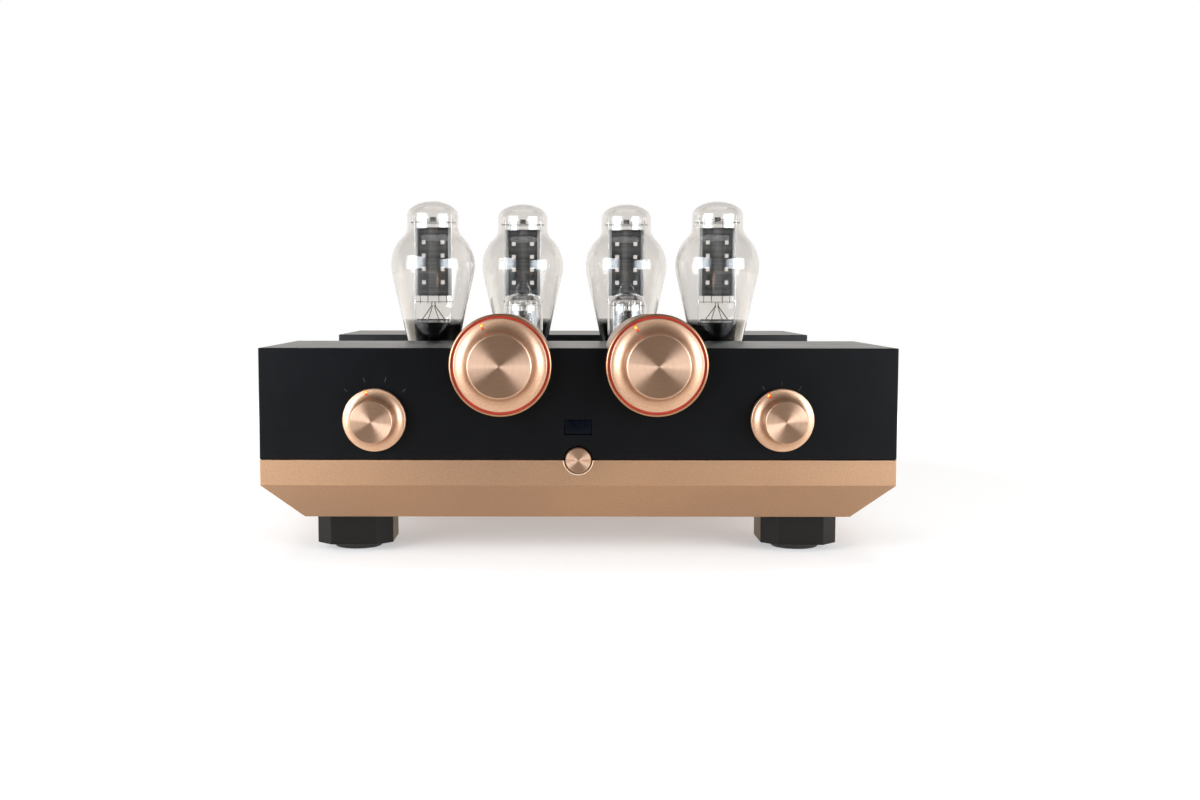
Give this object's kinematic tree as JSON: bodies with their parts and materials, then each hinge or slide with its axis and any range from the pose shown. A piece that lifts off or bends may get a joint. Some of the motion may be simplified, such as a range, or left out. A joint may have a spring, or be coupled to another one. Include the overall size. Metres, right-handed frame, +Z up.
{
  "type": "tube amplifier",
  "caption": "Integrated tube amplifier: black front block with turned copper knobs, copper tray on feet, open bay of upright power and driver tubes, rear transformer block.",
  "frame": {"origin": "on the floor under the middle of the bounding box", "axes": "+X to the right seen from the front, -Y out of the front panel, +Z up"},
  "size_m": [0.416, 0.46, 0.2463],
  "materials": {
    "copper": "satin rose-copper anodised, turned faces spun",
    "black_anodised": "fine bead-blasted, black anodised",
    "foot_black": "satin black anodised",
    "pad_rubber": "matt",
    "clear_glass": "blown, polished",
    "anode_plate": "carbonised, ribbed",
    "bakelite": "moulded, polished",
    "ceramic": "glazed",
    "red_light_guide": "translucent, lit from behind",
    "display_glass": "dark smoked window",
    "steel": "bright",
    "brass": "gold plated",
    "black_plastic": "moulded",
    "varnish": "varnished winding tape",
    "circuit_board": "solder mask"
  },
  "bodies": {
    "chassis": {"base_tray": "copper", "front_panel": "black_anodised", "display_window": "display_glass", "front_cover": "black_anodised", "tube_deck": "black_anodised", "rear_cover": "black_anodised", "rear_panel": "black_anodised", "foot_front_left": "foot_black", "foot_pad_front_left": "pad_rubber", "foot_front_right": "foot_black", "foot_pad_front_right": "pad_rubber", "foot_rear_left": "foot_black", "foot_pad_rear_left": "pad_rubber", "foot_rear_right": "foot_black", "foot_pad_rear_right": "pad_rubber", "knob_barrel_left": "copper", "glow_ring_left": "red_light_guide", "volume_attenuator_left": "black_plastic", "selector_switch_left": "black_plastic", "knob_barrel_right": "copper", "glow_ring_right": "red_light_guide", "volume_attenuator_right": "black_plastic", "selector_switch_right": "black_plastic", "power_switch": "black_plastic", "power_tube_1_socket": "ceramic", "power_tube_2_socket": "ceramic", "power_tube_3_socket": "ceramic", "power_tube_4_socket": "ceramic", "driver_tube_left_socket": "ceramic", "driver_tube_right_socket": "ceramic", "mains_inlet": "black_plastic", "input_jacks": "brass", "speaker_terminals": "brass", "mains_transformer": "varnish", "output_transformer_left": "steel", "output_transformer_right": "steel", "main_board": "circuit_board"},
    "volume_knob_left": {"volume_knob_left": "copper", "volume_shaft_left": "steel"},
    "volume_knob_right": {"volume_knob_right": "copper", "volume_shaft_right": "steel"},
    "selector_knob_left": {"selector_knob_left": "copper"},
    "selector_knob_right": {"selector_knob_right": "copper"},
    "power_button": {"power_button": "copper"},
    "power_tube_1": {"power_tube_1_glass": "clear_glass", "power_tube_1_base": "bakelite", "power_tube_1_electrodes": "anode_plate"},
    "power_tube_2": {"power_tube_2_glass": "clear_glass", "power_tube_2_base": "bakelite", "power_tube_2_electrodes": "anode_plate"},
    "power_tube_3": {"power_tube_3_glass": "clear_glass", "power_tube_3_base": "bakelite", "power_tube_3_electrodes": "anode_plate"},
    "power_tube_4": {"power_tube_4_glass": "clear_glass", "power_tube_4_base": "bakelite", "power_tube_4_electrodes": "anode_plate"},
    "driver_tube_left": {"driver_tube_left_glass": "clear_glass", "driver_tube_left_base": "bakelite"},
    "driver_tube_right": {"driver_tube_right_glass": "clear_glass", "driver_tube_right_base": "bakelite"}
  },
  "joints": [
    {"name": "volume_turn_left", "type": "hinge", "parent": "chassis", "child": "volume_knob_left", "pos_m": [-0.0504, -0.201, 0.1304], "axis": [0, 1, 0], "range_deg": [-125, 175]},
    {"name": "volume_turn_right", "type": "hinge", "parent": "chassis", "child": "volume_knob_right", "pos_m": [0.0504, -0.201, 0.1304], "axis": [0, 1, 0], "range_deg": [-120, 180]},
    {"name": "selector_turn_left", "type": "hinge", "parent": "chassis", "child": "selector_knob_left", "pos_m": [-0.1324, -0.201, 0.0945], "axis": [0, 1, 0], "range_deg": [-30, 60]},
    {"name": "selector_turn_right", "type": "hinge", "parent": "chassis", "child": "selector_knob_right", "pos_m": [0.1324, -0.201, 0.0945], "axis": [0, 1, 0], "range_deg": [0, 60]},
    {"name": "power_press", "type": "slide", "parent": "chassis", "child": "power_button", "axis": [0, 1, 0], "range_m": [0, 0.003], "stiffness_N_per_m": 300},
    {"name": "power_tube_1_lift", "type": "slide", "parent": "chassis", "child": "power_tube_1", "axis": [0, 0, 1], "range_m": [0, 0.1]},
    {"name": "power_tube_2_lift", "type": "slide", "parent": "chassis", "child": "power_tube_2", "axis": [0, 0, 1], "range_m": [0, 0.1]},
    {"name": "power_tube_3_lift", "type": "slide", "parent": "chassis", "child": "power_tube_3", "axis": [0, 0, 1], "range_m": [0, 0.1]},
    {"name": "power_tube_4_lift", "type": "slide", "parent": "chassis", "child": "power_tube_4", "axis": [0, 0, 1], "range_m": [0, 0.1]},
    {"name": "driver_tube_left_lift", "type": "slide", "parent": "chassis", "child": "driver_tube_left", "axis": [0, 0, 1], "range_m": [0, 0.015]},
    {"name": "driver_tube_right_lift", "type": "slide", "parent": "chassis", "child": "driver_tube_right", "axis": [0, 0, 1], "range_m": [0, 0.015]}
  ]
}
